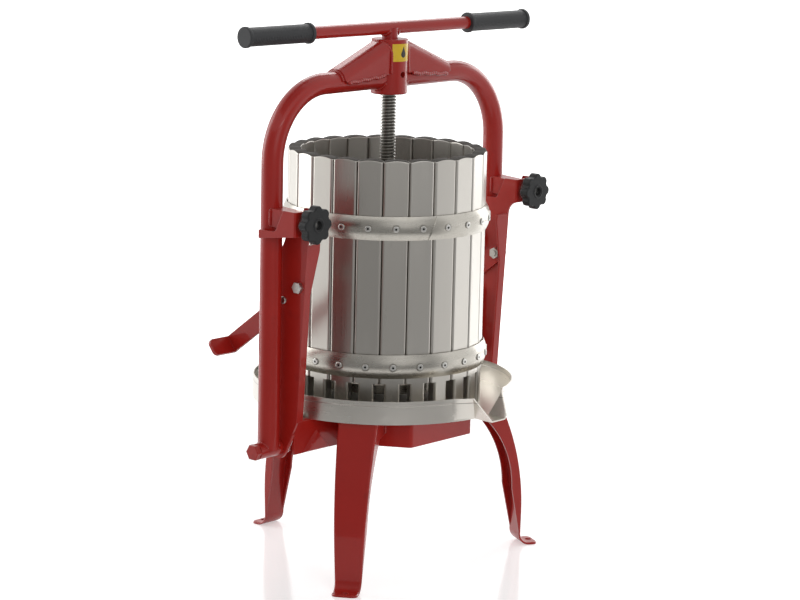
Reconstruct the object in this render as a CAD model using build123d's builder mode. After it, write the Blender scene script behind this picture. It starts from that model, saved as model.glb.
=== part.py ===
from build123d import *
import os
from math import cos, radians, sin, tan

os.makedirs("parts", exist_ok=True)

# A screw fruit press with a tilting arch. Millimetres, +Z up, origin on the floor under the screw.
# The pouring spout points to -Y, the two posts stand at -X (left) and +X (right).

# Sheet, gaps and fits
frame_sheet = 3.0
fold_round = 2.4
steel_sheet = 1.5
run_gap = 0.3
hole_ease = 0.1

# Base pan and legs
base_top = 207.0
base_depth = 41.5
hexagon_apothem = 101.0
hexagon_corner = 7.0
arm_half_width = 25.0
facet_height = 26.0
facet_depth = 3.0
leg_reach = 215.0
leg_top_width = 50.0
leg_foot_width = 33.0
leg_shoulder = 48.0
leg_neck = 27.0
leg_depth = 15.0
leg_knee = 45.0
leg_taper = 78.0
foot_pad = 25.0
foot_hole_inset = 8.0
foot_hole_radius = 4.25
foot_round = 8.0
foot_bend = 12.5

# Tray with its pouring spout
basket_radius = 125.0
tray_margin = 41.0
tray_wall_height = 29.0
spout_length = 26.5
spout_spread = 49.0
spout_flare = 8.5
spout_wall = 2.2
spout_top_half = 28.5
spout_floor_half = 13.5
spout_lip_half = 13.0
spout_lip_rise = 4.0

# Basket of staves, hoops and rivets
stave_count = 24
stave_depth = 16.0
stave_joint = 0.4
stave_edge = 3.0
stave_rim = 2.0
stave_crown = 2.6
basket_height = 320.0
basket_turn = 1.8
window_height = 41.0
tongue_share = 0.62
hoop_height = 29.5
hoop_bulge = 5.4
lower_hoop_rise = 63.0
upper_hoop_rise = 236.0
rivet_head_radius = 4.0
rivet_head_height = 1.4
rivet_shank_radius = 2.0
rivet_eye_radius = 1.2

# Posts with their latch cradles
tray_post_gap = 24.0
post_front_low = 31.0
post_front_high = 44.0
post_flange = 8.0
post_flange_high = 20.0
rear_flange = 12.0
pivot_rise = 6.5
pivot_lobe = 14.0
cradle_gap = 3.55
cradle_reach = 58.0
cradle_half_height = 15.0
horn_tip = 2.5
horn_height = 10.5
horn_drop = 8.0
throat_depth = 8.0
throat_drop = 17.0
latch_height = 460.0

# Stays that catch the tilted arch
stay_width = 22.0
stay_thickness = 4.0
stay_length = 149.0
stay_slope = 37.0
stay_drop = 84.0
stay_back = 31.0
stay_tab = 34.0
stay_screw_step = 31.0
stay_set = 5.0

# Arch, boss and gussets
tube_radius = 13.45
tube_wall = 2.6
bend_radius = 90.0
crown_rise = 88.5
sleeve_radius = 10.0
sleeve_overhang = 8.0
boss_radius = 23.0
boss_height = 69.0
boss_below = 20.2
oil_hole_radius = 4.0
oil_hole_rise = 25.0
gusset_reach = 100.0
gusset_half_width = 17.0
gusset_shoulder = 3.0
gusset_round = 14.0
lug_half_height = 11.0
lug_half_width = 11.0
lug_hole_radius = 7.5
lug_hole_depth = 15.0

# Screw, handle and press plate
screw_major = 10.0
screw_minor = 7.75
screw_pitch = 4.0
tooth_crest = 1.2
tooth_root = 3.0
run_turns = 6
journal_radius = 7.5
journal_height = 26.0
collar_radius = 12.0
collar_height = 6.0
socket_wall = 8.0
socket_cap = 8.0
plate_radius = 97.0
plate_thickness = 12.0
plate_rim = 5.0
plate_lift = 22.0
shank_radius = 10.0
handle_rise = 13.2
handle_radius = 8.0
handle_length = 488.0
handle_turn = -4.2
grip_radius = 11.6
grip_length = 107.0
grip_flange_radius = 13.0
grip_flange = 5.0
grip_end = 3.0

# Knobs on threaded studs
knob_radius = 23.5
knob_lobes = 8
knob_lobe_radius = 6.3
knob_head = 12.0
knob_hub_radius = 12.0
knob_hub = 5.0
knob_recess_radius = 5.5
knob_recess = 5.0
knob_edge = 1.6
stud_radius = 5.0
stud_tip = 9.0
washer_radius = 13.0
washer_thickness = 2.5

# Bolts: thread radius, half the width across the flats, head height and nut height
stay_bolt_radius = 4.0
stay_bolt_flats = 6.5
stay_bolt_head = 5.3
stay_nut = 6.5
pivot_bolt_radius = 6.0
pivot_bolt_flats = 9.0
pivot_bolt_head = 7.5
pivot_nut = 10.0
small_screw_radius = 2.5
small_screw_head_radius = 4.8
small_screw_head = 3.0

# Places worked out from the sizes above
base_bottom = base_top - base_depth
leg_top = base_top - frame_sheet
tray_radius = basket_radius + tray_margin
tray_floor = base_top + steel_sheet
tray_rim = base_top + tray_wall_height
basket_rim = tray_floor + basket_height
post_inner = tray_radius + tray_post_gap
post_face = post_inner + frame_sheet
arch_x = post_face + cradle_gap + tube_radius
cheek_inner = arch_x + tube_radius + cradle_gap
cheek_face = cheek_inner + frame_sheet
pivot_z = base_bottom + pivot_rise
crown_z = basket_rim + crown_rise
boss_bottom = crown_z - boss_below
boss_top = boss_bottom + boss_height
handle_z = boss_top + handle_rise
plate_bottom = tray_floor + plate_lift
plate_top = plate_bottom + plate_thickness
stay_z = latch_height - stay_drop
plate_front = -cradle_reach
plate_back = plate_front + frame_sheet
leg_angles = {"leg_front_left": -60, "leg_front_right": 60, "leg_rear": 180}


def save(piece, name):
    """Label a finished piece and write it to its own file."""
    piece.part.label = name
    export_step(piece.part, f"parts/{name}.step")


def save_pair(right_piece, name):
    """Write the right-hand piece and its mirror image on the left."""
    save(right_piece, f"{name}_right")
    with BuildPart() as left_piece:
        mirror(right_piece.part, about=Plane.YZ)
    save(left_piece, f"{name}_left")


def side_plane(x):
    """A plane across X at x, with local x along +Y and local y along +Z."""
    return Plane(origin=(x, 0, 0), x_dir=(0, 1, 0), z_dir=(1, 0, 0))


def latch_plane(depth):
    """A plane facing forward on the right latch axis, depth in front of the arch."""
    return Plane(origin=(arch_x, -depth, latch_height), x_dir=(1, 0, 0), z_dir=(0, -1, 0))


# The base pan: a hexagon and two arms pressed from one sheet, open below
with BuildPart() as base_pan:
    with BuildSketch(Plane.XY.offset(base_bottom)) as pan_outline:
        RegularPolygon(hexagon_apothem, 6, major_radius=False)
        Rectangle(2 * post_inner, 2 * arm_half_width)
        corners = pan_outline.vertices().filter_by(lambda v: abs(v.Y) > arm_half_width + hexagon_corner)
        fillet(corners, hexagon_corner)
    extrude(amount=base_depth)
    fillet(base_pan.faces().sort_by(Axis.Z)[-1].outer_wire().edges(), fold_round)
    with BuildSketch(Plane.XY.offset(base_bottom)):
        RegularPolygon(hexagon_apothem - frame_sheet, 6, major_radius=False)
        Rectangle(2 * post_inner, 2 * (arm_half_width - frame_sheet))
    extrude(amount=base_depth - frame_sheet, mode=Mode.SUBTRACT)
    # a pressed triangular facet stiffens each side of each arm
    facet_end = post_inner - pivot_lobe
    facet_start = hexagon_apothem + arm_half_width
    facet_peak = (facet_start + facet_end) / 2
    with BuildSketch(Plane.XZ.offset(arm_half_width)):
        for side in (-1, 1):
            Polygon(
                (side * facet_start, base_bottom),
                (side * facet_end, base_bottom),
                (side * facet_peak, base_bottom + facet_height),
                align=None,
            )
    extrude(amount=facet_depth, taper=30)
    mirror(base_pan.part, about=Plane.XZ)
save(base_pan, "base_pan")


def leg(angle):
    """A pressed channel leg, bowed outwards, whose flanges taper away above a flat drilled foot."""
    out = Vector(sin(radians(angle)), -cos(radians(angle)), 0)
    across = Vector(cos(radians(angle)), sin(radians(angle)), 0)
    radial = Plane(origin=(0, 0, 0), x_dir=out, z_dir=-across)
    facing = Plane(origin=(0, 0, 0), x_dir=across, z_dir=out)
    shin = leg_reach - foot_pad
    calf = shin - leg_depth
    web_back = shin - frame_sheet
    shoulder = (hexagon_apothem + leg_shoulder, leg_top)
    neck = (hexagon_apothem + leg_neck, base_top - leg_neck)
    inside = (shoulder[0] - frame_sheet, leg_top - frame_sheet)
    behind = hexagon_apothem - leg_neck
    with BuildPart() as hollow:
        with BuildSketch(radial):
            with BuildLine():
                web = TangentArc((web_back, leg_knee), inside, tangent=(0, 1))
                Polyline(
                    web @ 1,
                    (behind, inside[1]),
                    (behind, 0),
                    (web_back, 0),
                    web @ 0,
                )
            make_face()
        extrude(amount=leg_top_width, both=True)
        with BuildSketch(facing):
            Polygon(
                (-leg_foot_width / 2 + frame_sheet, 0),
                (leg_foot_width / 2 - frame_sheet, 0),
                (leg_top_width / 2 - frame_sheet, leg_top),
                (-leg_top_width / 2 + frame_sheet, leg_top),
                align=None,
            )
        extrude(amount=leg_reach, mode=Mode.INTERSECT)
    with BuildPart() as shell:
        with BuildSketch(radial) as outline:
            with BuildLine():
                front = TangentArc((shin, leg_knee), shoulder, tangent=(0, 1))
                rear = TangentArc((calf, leg_taper), neck, tangent=(0, 1))
                Polyline(
                    front @ 1,
                    (hexagon_apothem, leg_top),
                    (hexagon_apothem, neck[1]),
                    rear @ 1,
                )
                Polyline(
                    rear @ 0,
                    (web_back, foot_bend + 2 * frame_sheet),
                    (web_back, 0),
                    (leg_reach, 0),
                    (leg_reach, frame_sheet),
                    (shin, frame_sheet),
                    front @ 0,
                )
            make_face()
            fillet(outline.vertices().sort_by_distance((web_back, 0))[0], foot_bend + frame_sheet)
            fillet(outline.vertices().sort_by_distance((shin, frame_sheet))[0], foot_bend)
        extrude(amount=leg_top_width, both=True)
        with BuildSketch(facing):
            Polygon(
                (-leg_foot_width / 2, 0),
                (leg_foot_width / 2, 0),
                (leg_top_width / 2, leg_top),
                (-leg_top_width / 2, leg_top),
                align=None,
            )
        extrude(amount=leg_reach, mode=Mode.INTERSECT)
        toe = shell.edges().filter_by(lambda e: (e.center().dot(out)) > leg_reach - hole_ease)
        fillet(toe.filter_by(lambda e: e.length < 2 * frame_sheet), foot_round)
        fillet(shell.edges().sort_by(SortBy.LENGTH)[-2:], fold_round)
        add(hollow.part, mode=Mode.SUBTRACT)
        hole_at = out * (leg_reach - foot_hole_inset)
        with BuildSketch(Plane.XY):
            with Locations((hole_at.X, hole_at.Y)):
                Circle(foot_hole_radius)
        extrude(amount=frame_sheet, mode=Mode.SUBTRACT)
    return shell


for name, angle in leg_angles.items():
    save(leg(angle), name)


# The tray: a round pan whose wall flares out into a folded pouring spout at the front
def spout_section(plane, half_top, half_floor, height):
    """One U-shaped section of the spout's sheet, drawn upwards from the underside of its floor."""
    with BuildSketch(plane) as section:
        Polygon(
            (-half_top, height),
            (-half_floor, 0),
            (half_floor, 0),
            (half_top, height),
            (half_top - spout_wall, height),
            (half_floor - spout_wall / 2, steel_sheet),
            (-half_floor + spout_wall / 2, steel_sheet),
            (-half_top + spout_wall, height),
            align=None,
        )
    return section.sketch


def spout_plane(depth, floor, flare):
    """A plane across the spout, leaning forward by flare over the height of the tray's wall."""
    return Plane(origin=(0, -depth, floor), x_dir=(1, 0, 0), z_dir=(0, -tray_wall_height, -flare))


spout_root = (tray_radius**2 - spout_spread**2) ** 0.5
spout_tip = tray_radius + spout_length
fold_height = (tray_wall_height**2 + spout_flare**2) ** 0.5
lip_floor = base_top - steel_sheet / 2
lip_half = spout_lip_half + spout_lip_rise
spout_sections = [
    spout_section(spout_plane(spout_root, base_top, 0), spout_spread, spout_spread, tray_wall_height),
    spout_section(spout_plane(tray_radius, base_top, spout_flare), spout_top_half, spout_floor_half, fold_height),
    spout_section(spout_plane(spout_tip, lip_floor, 0), lip_half, spout_lip_half, steel_sheet / 2 + spout_lip_rise),
]

with BuildPart() as tray:
    with BuildSketch(Plane.XY.offset(base_top)):
        Circle(tray_radius)
    extrude(amount=tray_wall_height)
    with BuildSketch(Plane.XY.offset(tray_floor)):
        Circle(tray_radius - steel_sheet)
    extrude(amount=tray_wall_height, mode=Mode.SUBTRACT)
    # the round wall ends a little past each side of the spout's root
    mouth_half = spout_spread - 2 * steel_sheet
    with BuildSketch(Plane.XY.offset(tray_floor)):
        Polygon(
            (0, 0),
            (-2 * mouth_half, -2 * spout_root),
            (2 * mouth_half, -2 * spout_root),
            align=None,
        )
    extrude(amount=tray_wall_height, mode=Mode.SUBTRACT)
    loft(spout_sections, ruled=True)
save(tray, "tray")


# The basket: hollow staves riveted to two bulged hoops
stave_angle = 360 / stave_count
stave_turns = [basket_turn + stave_angle * i for i in range(stave_count)]
hoop_rises = (lower_hoop_rise, upper_hoop_rise)
stave_slope = tan(radians(stave_angle / 2))
tongue_slope = stave_slope * tongue_share
window_top = tray_floor + window_height
stave_half = basket_radius * stave_slope
crown_foot = basket_rim - stave_crown
crown_clear = basket_rim + stave_crown


def stave_profile(skin, slope):
    """The stave's plan outline, drawn in by a skin thickness, with its outer face towards -Y."""
    outer = basket_radius - skin
    inner = basket_radius - stave_depth + skin
    side = stave_joint / 2 + skin
    Polygon(
        (-outer * slope + side, -outer),
        (outer * slope - side, -outer),
        (inner * slope - side, -inner),
        (-inner * slope + side, -inner),
        align=None,
    )


def stave(turn):
    """A folded box stave, open at the bottom, narrowed to a tongue between the drain windows."""
    plan = Plane(origin=(0, 0, 0), x_dir=(cos(radians(turn)), sin(radians(turn)), 0), z_dir=(0, 0, 1))
    face = Plane(
        origin=(0, 0, 0),
        x_dir=(cos(radians(turn)), sin(radians(turn)), 0),
        z_dir=(sin(radians(turn)), -cos(radians(turn)), 0),
    )
    with BuildPart() as box:
        with BuildSketch(plan.offset(window_top)) as outline:
            stave_profile(0, stave_slope)
            fillet(outline.vertices(), stave_edge)
        extrude(amount=basket_rim - window_top)
        # the closed top is arched from joint to joint
        with BuildSketch(face.offset(basket_radius)):
            with BuildLine():
                crown = ThreePointArc((-stave_half, crown_foot), (0, basket_rim), (stave_half, crown_foot))
                Polyline(crown @ 0, (-stave_half, crown_clear), (stave_half, crown_clear), crown @ 1)
            make_face()
        extrude(amount=-stave_depth, mode=Mode.SUBTRACT)
        fillet(box.faces().sort_by(Axis.Z)[-1].edges(), stave_rim)
        with BuildSketch(plan.offset(tray_floor)) as outline:
            stave_profile(0, tongue_slope)
            fillet(outline.vertices(), stave_edge)
        extrude(amount=window_height)
        with BuildSketch(plan.offset(window_top + steel_sheet)) as outline:
            stave_profile(steel_sheet, stave_slope)
            fillet(outline.vertices(), stave_edge - steel_sheet)
        extrude(amount=crown_foot - window_top - 2 * steel_sheet, mode=Mode.SUBTRACT)
        with BuildSketch(plan.offset(tray_floor)) as outline:
            stave_profile(steel_sheet, tongue_slope)
            fillet(outline.vertices(), stave_edge - steel_sheet)
        extrude(amount=window_height + 2 * steel_sheet, mode=Mode.SUBTRACT)
        with BuildSketch(face.offset(basket_radius)):
            with Locations(*[(0, tray_floor + rise) for rise in hoop_rises]):
                Circle(rivet_shank_radius + hole_ease)
        extrude(amount=-2 * steel_sheet, mode=Mode.SUBTRACT)
    return box


for number, turn in enumerate(stave_turns, start=1):
    save(stave(turn), f"stave_{number:02d}")

hoop_inner = basket_radius / cos(radians(stave_angle / 2))


def hoop(rise):
    """A stainless hoop with a bulged section, bearing on the stave edges along its two rims."""
    bottom = tray_floor + rise - hoop_height / 2
    top = bottom + hoop_height
    middle = tray_floor + rise
    bulge = hoop_inner + hoop_bulge
    with BuildPart() as ring:
        with BuildSketch(Plane.XZ):
            with BuildLine():
                outer = Spline(
                    (hoop_inner + steel_sheet, bottom),
                    (bulge, middle),
                    (hoop_inner + steel_sheet, top),
                )
                inner = Spline((hoop_inner, bottom), (bulge - steel_sheet, middle), (hoop_inner, top))
                Line(outer @ 0, inner @ 0)
                Line(outer @ 1, inner @ 1)
            make_face()
        revolve(axis=Axis.Z)
        for turn in stave_turns:
            outward = (sin(radians(turn)), -cos(radians(turn)), 0)
            drill = Plane(origin=(0, 0, middle), x_dir=(0, 0, 1), z_dir=outward)
            with BuildSketch(drill.offset(basket_radius)):
                Circle(rivet_shank_radius + hole_ease)
            extrude(amount=2 * hoop_bulge, mode=Mode.SUBTRACT)
    return ring


save(hoop(lower_hoop_rise), "lower_hoop")
save(hoop(upper_hoop_rise), "upper_hoop")

# One blind rivet, its axis along +X with the head's underside on the hoop's crest
rivet_seat = hoop_inner + hoop_bulge
rivet_tail = basket_radius - 2 * steel_sheet
with BuildPart() as rivet:
    with BuildSketch(Plane.YZ.offset(rivet_tail)):
        Circle(rivet_shank_radius)
    extrude(amount=rivet_seat - rivet_tail)
    with BuildSketch(Plane.YZ.offset(rivet_seat)):
        Circle(rivet_head_radius)
    extrude(amount=rivet_head_height)
    fillet(rivet.faces().sort_by(Axis.X)[-1].edges(), rivet_head_height * 0.7)
    with BuildSketch(Plane.YZ.offset(rivet_seat + rivet_head_height)):
        Circle(rivet_eye_radius)
    extrude(amount=-2 * rivet_head_height, mode=Mode.SUBTRACT)

with BuildPart() as rivets:
    with Locations(*[(0, 0, tray_floor + rise) for rise in hoop_rises]):
        with PolarLocations(0, stave_count, start_angle=basket_turn - 90):
            add(rivet.part)
save(rivets, "hoop_rivets")

# The right post: a folded channel whose top is a cradle for the arch tube
cradle_low = latch_height - cradle_half_height
cradle_high = latch_height + cradle_half_height
horn_low = cradle_low - horn_drop
cheek_step = (cradle_reach + horn_tip) * 0.33
mouth_corner = (-cradle_reach + 1.65 * cheek_step, cradle_low + horn_height * 0.3)
cradle_top = [
    (-cradle_reach, cradle_low),
    (-cradle_reach, cradle_high),
    (-cradle_reach + cheek_step, cradle_high),
    mouth_corner,
    (horn_tip, horn_low + horn_height),
    (horn_tip, horn_low),
]
post_foot = pivot_z - pivot_lobe
flange_foot = base_top
flange_top = horn_low - horn_drop
stay_bolt_at = (-stay_back, stay_z)
stay_screw_at = (
    -stay_back + stay_screw_step * cos(radians(stay_slope)),
    stay_z - stay_screw_step * sin(radians(stay_slope)),
)
post_lean = (post_front_high - post_front_low) / (flange_top - flange_foot)

with BuildPart() as post_right:
    with BuildSketch(side_plane(post_inner)) as web:
        with BuildLine():
            Polyline(
                (0, horn_low - throat_drop),
                (0, post_foot),
                (-pivot_lobe * 0.7, post_foot + pivot_lobe * 0.3),
                (-post_front_low, flange_foot),
                (-post_front_high, flange_top),
            )
            ThreePointArc(
                (-post_front_high, flange_top),
                (-post_front_high - horn_drop * 0.5, cradle_low - horn_drop * 0.7),
                cradle_top[0],
            )
            Polyline(*cradle_top, (-throat_depth, horn_low))
            ThreePointArc(
                (-throat_depth, horn_low),
                (-throat_depth * 0.75, horn_low - throat_drop * 0.4),
                (0, horn_low - throat_drop),
            )
        make_face()
        fillet(web.vertices().sort_by_distance(mouth_corner)[0], horn_height / 2)
        with Locations((0, pivot_z)):
            Circle(pivot_lobe)
        with Locations((0, pivot_z)):
            Circle(pivot_bolt_radius + hole_ease, mode=Mode.SUBTRACT)
        with Locations(stay_bolt_at):
            Circle(stay_bolt_radius + hole_ease, mode=Mode.SUBTRACT)
        with Locations(stay_screw_at):
            Circle(small_screw_radius + hole_ease, mode=Mode.SUBTRACT)
    extrude(amount=frame_sheet)
    # outer cheek of the cradle
    with BuildSketch(side_plane(cheek_inner)) as cheek:
        Polygon(*cradle_top, align=None)
        fillet(cheek.vertices().sort_by_distance(mouth_corner)[0], horn_height / 2)
    extrude(amount=frame_sheet)
    # front plate of the cradle, drilled for the knob's stud
    with BuildSketch(latch_plane(cradle_reach - frame_sheet)):
        Rectangle(cheek_face - post_inner, 2 * cradle_half_height)
        Circle(stud_radius + run_gap + hole_ease, mode=Mode.SUBTRACT)
    extrude(amount=frame_sheet)
    # front flange, folded inwards along the leaning front edge
    with BuildSketch(
        Plane(
            origin=(post_face, -post_front_low, flange_foot),
            x_dir=(-1, 0, 0),
            z_dir=(0, 1, post_lean),
        )
    ):
        flange_run = (flange_top - flange_foot) * (1 + post_lean**2) ** 0.5
        Polygon(
            (0, 0),
            (frame_sheet + post_flange, 0),
            (frame_sheet + post_flange, flange_run * 0.72),
            (frame_sheet + post_flange_high, flange_run * 0.96),
            (frame_sheet + post_flange_high, flange_run),
            (0, flange_run),
            align=None,
        )
    extrude(amount=frame_sheet)
    # rear flange, folded inwards in two stretches above and below the stay
    with BuildSketch(Plane(origin=(post_face, 0, 0), x_dir=(-1, 0, 0), z_dir=(0, 1, 0))):
        flange_edge = frame_sheet + rear_flange
        Polygon(
            (0, tray_rim),
            (flange_edge * 0.6, tray_rim),
            (flange_edge, tray_rim + rear_flange),
            (flange_edge, stay_z - 2.6 * stay_width),
            (flange_edge * 0.6, stay_z - 2.1 * stay_width),
            (0, stay_z - 2.1 * stay_width),
            align=None,
        )
        Polygon(
            (0, stay_z),
            (flange_edge * 0.7, stay_z),
            (flange_edge, stay_z + stay_width * 0.3),
            (flange_edge, stay_z + stay_width * 0.7),
            (flange_edge * 0.5, flange_top - stay_width),
            (0, flange_top - stay_width),
            align=None,
        )
    extrude(amount=-frame_sheet)
    # the folds beside the front plate are round
    plate_folds = post_right.edges().filter_by(Axis.Z).filter_by(lambda e: e.center().Y < plate_front + hole_ease)
    fillet(plate_folds, fold_round)
save_pair(post_right, "post")

# The right stay: a flat bar that slopes down to the rear and ends in an outward tab
stay_plane = Plane(
    origin=(post_inner - stay_thickness, -stay_back, stay_z),
    x_dir=(0, cos(radians(stay_slope)), -sin(radians(stay_slope))),
    z_dir=(1, 0, 0),
)
with BuildPart() as stay_right:
    with BuildSketch(stay_plane):
        with Locations((stay_set, 0)):
            Circle(stay_width / 2)
            Rectangle(stay_length - stay_set, stay_width, align=(Align.MIN, Align.CENTER))
        Circle(stay_bolt_radius + hole_ease, mode=Mode.SUBTRACT)
        with Locations((stay_screw_step, 0)):
            Circle(small_screw_radius + hole_ease, mode=Mode.SUBTRACT)
    extrude(amount=stay_thickness)
    with BuildSketch(stay_plane):
        with Locations((stay_length, 0)):
            Rectangle(stay_thickness, stay_width, align=(Align.MAX, Align.CENTER))
    extrude(amount=stay_thickness + stay_tab)
    tab_ends = stay_right.faces().sort_by(Axis.X)[-1].edges().filter_by(lambda e: e.length < 2 * stay_thickness)
    fillet(tab_ends, stay_width * 0.3)
save_pair(stay_right, "stay")


def outward_plane(x, y, z):
    """A plane at a point on the right-hand side, facing outwards along +X."""
    return Plane(origin=(x, y, z), x_dir=(0, 1, 0), z_dir=(1, 0, 0))


def bolt_and_nut(at, seat, nut_seat, radius, flats, head, nut):
    """A hexagon bolt along X at (y, z), its head on the outer seat and its nut on the inner one."""
    with BuildPart() as fastener:
        with BuildSketch(outward_plane(seat, *at)):
            RegularPolygon(flats, 6, major_radius=False)
        extrude(amount=head)
        fillet(fastener.faces().sort_by(Axis.X)[-1].edges(), head * 0.15)
        with BuildSketch(outward_plane(seat, *at)):
            Circle(radius)
        extrude(amount=nut_seat - seat - nut - radius / 2)
        with BuildSketch(outward_plane(nut_seat, *at)):
            RegularPolygon(flats, 6, major_radius=False, rotation=30)
            Circle(radius + hole_ease / 2, mode=Mode.SUBTRACT)
        extrude(amount=-nut)
    return fastener


def save_both(right_piece, name):
    """Write the right-hand solids and their mirror images on the left as one group."""
    with BuildPart() as group:
        add(right_piece.part)
        mirror(right_piece.part, about=Plane.YZ)
    save(group, name)


stay_bolt = bolt_and_nut(
    stay_bolt_at,
    post_face,
    post_inner - stay_thickness,
    stay_bolt_radius,
    stay_bolt_flats,
    stay_bolt_head,
    stay_nut,
)
save_both(stay_bolt, "stay_bolts")

with BuildPart() as stay_screw:
    with BuildSketch(outward_plane(post_face, *stay_screw_at)):
        Circle(small_screw_head_radius)
    extrude(amount=small_screw_head)
    fillet(stay_screw.faces().sort_by(Axis.X)[-1].edges(), small_screw_head * 0.6)
    with BuildSketch(outward_plane(post_face, *stay_screw_at)):
        Circle(small_screw_radius)
    extrude(amount=-frame_sheet - stay_thickness - small_screw_head)
save_both(stay_screw, "stay_screws")

sleeve_end = arch_x + tube_radius + sleeve_overhang
pivot_bolt = bolt_and_nut(
    (0, pivot_z),
    sleeve_end + run_gap,
    post_inner,
    pivot_bolt_radius,
    pivot_bolt_flats,
    pivot_bolt_head,
    pivot_nut,
)
save_both(pivot_bolt, "pivot_bolts")

# Dome-headed screws on the arms keep the tray from sliding
tray_stop_x = tray_radius + small_screw_head_radius + 4 * run_gap
with BuildPart() as tray_stops:
    with BuildSketch(Plane.XY.offset(base_top)):
        with Locations((-tray_stop_x, -arm_half_width * 0.6), (tray_stop_x, -arm_half_width * 0.6)):
            Circle(small_screw_head_radius)
    extrude(amount=2 * small_screw_head)
    fillet(tray_stops.faces().group_by(Axis.Z)[-1].edges(), small_screw_head)
save(tray_stops, "tray_stops")

# The arch: two bent tubes welded to the boss, with pivot sleeves across their lower ends
with BuildPart() as arch_tube_right:
    with BuildLine(Plane.XZ) as arch_path:
        FilletPolyline((0, crown_z), (arch_x, crown_z), (arch_x, pivot_z), radius=bend_radius)
    with BuildSketch(Plane(origin=(0, 0, crown_z), x_dir=(0, 1, 0), z_dir=(1, 0, 0))):
        Circle(tube_radius)
        Circle(tube_radius - tube_wall, mode=Mode.SUBTRACT)
    sweep(path=arch_path.line)
    with BuildSketch(Plane.XY.offset(boss_bottom)):
        Circle(boss_radius)
    extrude(amount=boss_height, mode=Mode.SUBTRACT)
    with BuildSketch(outward_plane(post_face, 0, pivot_z)):
        Circle(sleeve_radius)
    extrude(amount=sleeve_end - post_face, mode=Mode.SUBTRACT)
save_pair(arch_tube_right, "arch_tube")

with BuildPart() as pivot_sleeve:
    with BuildSketch(outward_plane(post_face + run_gap, 0, pivot_z)):
        Circle(sleeve_radius)
        Circle(pivot_bolt_radius + run_gap, mode=Mode.SUBTRACT)
    extrude(amount=sleeve_end - post_face - run_gap)
save_both(pivot_sleeve, "pivot_sleeves")

with BuildPart() as screw_boss:
    with BuildSketch(Plane.XY.offset(boss_bottom)):
        Circle(boss_radius)
    extrude(amount=boss_height)
    fillet(screw_boss.edges(), steel_sheet)
    with BuildSketch(Plane.XY.offset(boss_bottom)):
        Circle(screw_major + run_gap)
    extrude(amount=boss_height, mode=Mode.SUBTRACT)
    with BuildSketch(Plane.XZ.offset(boss_radius)):
        with Locations((0, boss_bottom + oil_hole_rise)):
            Circle(oil_hole_radius)
    extrude(amount=-boss_radius, mode=Mode.SUBTRACT)
save(screw_boss, "screw_boss")

# The right gusset: a round-backed saddle that straddles the tube beside the boss
tube_top = crown_z + tube_radius
gusset_top = boss_top - steel_sheet
gusset_end = tube_top + gusset_shoulder
gusset_fold = frame_sheet * 1.06
gusset_slope = (gusset_top - gusset_end) / (gusset_reach - boss_radius)
gusset_peak = gusset_top + gusset_slope * boss_radius
with BuildPart() as gusset_hollow:
    with BuildSketch(Plane.XZ):
        Polygon(
            (0, gusset_peak - gusset_fold),
            (gusset_reach, gusset_end - gusset_fold),
            (gusset_reach, boss_bottom),
            (0, boss_bottom),
            align=None,
        )
    extrude(amount=gusset_half_width - frame_sheet, both=True)
    ridge = gusset_hollow.faces().sort_by(Axis.Z)[-1].edges()
    fillet(ridge.filter_by(lambda e: abs(e.center().Y) > frame_sheet), gusset_round - frame_sheet)

with BuildPart() as gusset_right:
    with BuildSketch(Plane.XZ) as gusset_side:
        Polygon(
            (0, gusset_peak),
            (gusset_reach, gusset_end),
            (gusset_reach, crown_z),
            (boss_radius, crown_z + boss_radius * 0.25),
            (0, crown_z + boss_radius * 0.25),
            align=None,
        )
        fillet(gusset_side.vertices().sort_by_distance((gusset_reach, crown_z))[0], tube_radius * 0.5)
    extrude(amount=gusset_half_width, both=True)
    ridge = gusset_right.faces().sort_by(Axis.Z)[-1].edges()
    fillet(ridge.filter_by(lambda e: abs(e.center().Y) > frame_sheet), gusset_round)
    add(gusset_hollow.part, mode=Mode.SUBTRACT)
    with BuildSketch(Plane.XY.offset(boss_bottom)):
        Circle(boss_radius)
    extrude(amount=2 * boss_height, mode=Mode.SUBTRACT)
    with BuildSketch(Plane.YZ):
        with Locations((0, crown_z)):
            Circle(tube_radius)
    extrude(amount=arch_x, mode=Mode.SUBTRACT)
save_pair(gusset_right, "gusset")

# The right latch lug: a block on the arch tube that the knob pulls against the cradle
lug_front = -plate_back - run_gap
with BuildPart() as latch_lug_right:
    with BuildSketch(side_plane(arch_x)):
        Polygon(
            (-lug_front, latch_height - lug_half_height),
            (-lug_front, latch_height + lug_half_height),
            (-tube_radius / 2, latch_height + lug_half_height + run_gap * 10),
            (-tube_radius / 2, latch_height - lug_half_height + run_gap * 10),
            align=None,
        )
    extrude(amount=lug_half_width, both=True)
    with BuildSketch(Plane.XY.offset(latch_height - 2 * lug_half_height)):
        with Locations((arch_x, 0)):
            Circle(tube_radius)
    extrude(amount=4 * lug_half_height, mode=Mode.SUBTRACT)
    with BuildSketch(latch_plane(lug_front)):
        Circle(lug_hole_radius)
    extrude(amount=-lug_hole_depth, mode=Mode.SUBTRACT)
save_pair(latch_lug_right, "latch_lug")

# The right knob on its stud, with a loose washer against the cradle's front plate
washer_seat = cradle_reach + run_gap
knob_seat = washer_seat + washer_thickness + run_gap
knob_depth = knob_hub + knob_head
with BuildPart() as washer_right:
    with BuildSketch(latch_plane(washer_seat)):
        Circle(washer_radius)
        Circle(stud_radius + run_gap, mode=Mode.SUBTRACT)
    extrude(amount=washer_thickness)
save_pair(washer_right, "washer")

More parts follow.
